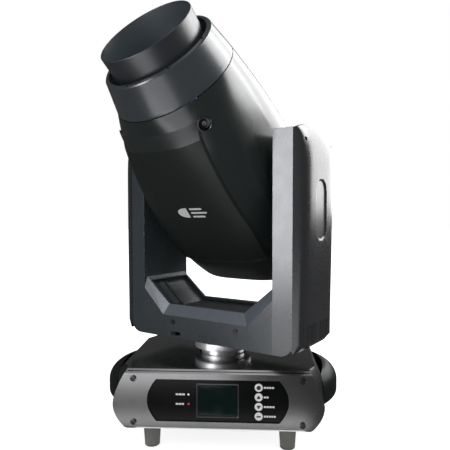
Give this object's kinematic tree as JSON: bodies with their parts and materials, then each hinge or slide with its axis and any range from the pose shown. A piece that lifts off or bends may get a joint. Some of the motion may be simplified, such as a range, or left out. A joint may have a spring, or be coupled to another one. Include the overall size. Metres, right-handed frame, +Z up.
{
  "type": "moving head light",
  "caption": "Moving head stage light: a base on rubber feet with a control panel, a panning U-shaped yoke, and a tilting head with a zoom lens and hood.",
  "frame": {"origin": "on the pan axis, at the centre of the clamp-bracket holes in the underside of the base", "axes": "+Z up along the pan axis; -Y out of the control panel; +X to the right seen from the control panel"},
  "size_m": [0.488, 0.5268, 0.843],
  "materials": {
    "base_plastic": "satin moulded black with fine grain",
    "base_gloss": "glossy black top plate",
    "panel_gloss": "high-gloss black control panel",
    "handle_plastic": "satin moulded black grip",
    "yoke_plastic": "satin dark slate moulding",
    "arm_plastic": "satin black moulding",
    "head_plastic": "satin black moulding",
    "hood_metal": "satin black paint on aluminium",
    "foot_rubber": "grey olive rubber",
    "belt_rubber": "toothed drive belt",
    "display_glass": "dark display window",
    "lens_glass": "coated optical glass",
    "filter_glass": "dichroic filter disc",
    "led_lens": "clear light pipe",
    "button_white": "white push button",
    "circuit_board": "green solder mask",
    "power_socket": "blue mains socket",
    "signal_socket": "black signal socket",
    "steel_sheet": "black powder-coated steel sheet",
    "machined_steel": "turned steel",
    "bare_aluminium": "bare aluminium",
    "polished_aluminium": "bright turned aluminium",
    "screw_steel": "dark zinc screws",
    "lock_metal": "zinc-plated slider",
    "motor_black": "black motor and fan parts",
    "heat_sink_black": "black anodised fins",
    "copper_alloy": "copper base of the light engine",
    "carriage_black": "black anodised carriage"
  },
  "bodies": {
    "base": {"base_tray": "steel_sheet", "base_top_cover": "base_gloss", "front_bezel": "base_plastic", "control_panel": "panel_gloss", "display_window": "display_glass", "control_board": "circuit_board", "status_leds": "led_lens", "rear_panel": "base_plastic", "power_connectors": "power_socket", "signal_connectors": "signal_socket", "side_cover_left": "base_plastic", "side_cover_right": "base_plastic", "handle_left": "handle_plastic", "handle_right": "handle_plastic", "rubber_feet": "foot_rubber", "base_screws": "screw_steel", "power_supply": "bare_aluminium", "pan_column": "machined_steel", "pan_pulley_fixed": "bare_aluminium"},
    "yoke": {"yoke_frame": "yoke_plastic", "crossbar_cover": "yoke_plastic", "arm_cover_left": "arm_plastic", "arm_cover_right": "arm_plastic", "pan_collar": "polished_aluminium", "pan_bearing": "machined_steel", "pan_motor": "motor_black", "pan_belt": "belt_rubber", "tilt_motor": "motor_black", "tilt_belt": "belt_rubber", "tilt_bearings": "machined_steel", "yoke_screws": "screw_steel"},
    "head": {"head_cover_under": "head_plastic", "head_cover_back": "head_plastic", "front_barrel": "head_plastic", "lens_hood": "hood_metal", "rear_cap": "head_plastic", "head_chassis": "steel_sheet", "trunnions": "machined_steel", "tilt_pulley": "bare_aluminium", "heat_sink": "heat_sink_black", "led_engine": "copper_alloy", "fan_frame": "motor_black", "guide_rods": "machined_steel", "front_lens": "lens_glass", "wheel_motors": "motor_black", "head_screws": "screw_steel"},
    "pan_drive": {"pan_motor_pulley": "bare_aluminium"},
    "tilt_drive": {"tilt_motor_pulley": "bare_aluminium"},
    "lock": {"pan_lock": "lock_metal"},
    "fan": {"fan_rotor": "motor_black"},
    "zoom": {"zoom_carriage": "carriage_black", "zoom_lens": "lens_glass"},
    "focus": {"focus_carriage": "carriage_black", "focus_lens": "lens_glass"},
    "colour": {"colour_wheel": "filter_glass"},
    "gobo": {"gobo_wheel": "bare_aluminium"},
    "key_menu": {"button_menu": "button_white"},
    "key_up": {"button_up": "button_white"},
    "key_down": {"button_down": "button_white"},
    "key_enter": {"button_enter": "button_white"}
  },
  "joints": [
    {"name": "pan", "type": "hinge", "parent": "base", "child": "yoke", "pos_m": [0, 0, 0.15], "axis": [0, 0, 1], "range_deg": [-239.5, 300.5]},
    {"name": "tilt", "type": "hinge", "parent": "yoke", "child": "head", "pos_m": [0, 0, 0.524], "axis": [0.8616, -0.5075, 0], "range_deg": [-184.5, 85.5]},
    {"name": "pan_motor_spin", "type": "hinge", "parent": "yoke", "child": "pan_drive", "pos_m": [-0.1077, 0.06344, 0.1884], "axis": [0, 0, 1], "range_deg": [-1253.08, 998.92]},
    {"name": "tilt_motor_spin", "type": "hinge", "parent": "yoke", "child": "tilt_drive", "pos_m": [-0.1762, 0.10379, 0.405], "axis": [0.8616, -0.5075, 0], "range_deg": [-628.3, 291.7]},
    {"name": "pan_lock_slide", "type": "slide", "parent": "yoke", "child": "lock", "axis": [0.8616, -0.5075, 0], "range_m": [0, 0.012]},
    {"name": "fan_spin", "type": "hinge", "parent": "head", "child": "fan", "pos_m": [0.07912, 0.13431, 0.39086], "axis": [-0.3859, -0.6552, 0.6494], "continuous": true},
    {"name": "colour_spin", "type": "hinge", "parent": "head", "child": "colour", "pos_m": [-0.02585, -0.04388, 0.49517], "axis": [-0.3859, -0.6552, 0.6494], "continuous": true},
    {"name": "gobo_spin", "type": "hinge", "parent": "head", "child": "gobo", "pos_m": [0.00655, 0.01112, 0.58531], "axis": [-0.3859, -0.6552, 0.6494], "continuous": true},
    {"name": "zoom_slide", "type": "slide", "parent": "head", "child": "zoom", "axis": [-0.3859, -0.6552, 0.6494], "range_m": [-0.04, 0.02]},
    {"name": "focus_slide", "type": "slide", "parent": "head", "child": "focus", "axis": [-0.3859, -0.6552, 0.6494], "range_m": [-0.022, 0.034]},
    {"name": "press_menu", "type": "slide", "parent": "base", "child": "key_menu", "axis": [0, 1, 0], "range_m": [0, 0.0012]},
    {"name": "press_up", "type": "slide", "parent": "base", "child": "key_up", "axis": [0, 1, 0], "range_m": [0, 0.0012]},
    {"name": "press_down", "type": "slide", "parent": "base", "child": "key_down", "axis": [0, 1, 0], "range_m": [0, 0.0012]},
    {"name": "press_enter", "type": "slide", "parent": "base", "child": "key_enter", "axis": [0, 1, 0], "range_m": [0, 0.0012]}
  ],
  "couplings": [
    {"joint": "pan_motor_spin", "follows": "pan", "ratio": -4.1667},
    {"joint": "tilt_motor_spin", "follows": "tilt", "ratio": 3.4}
  ]
}
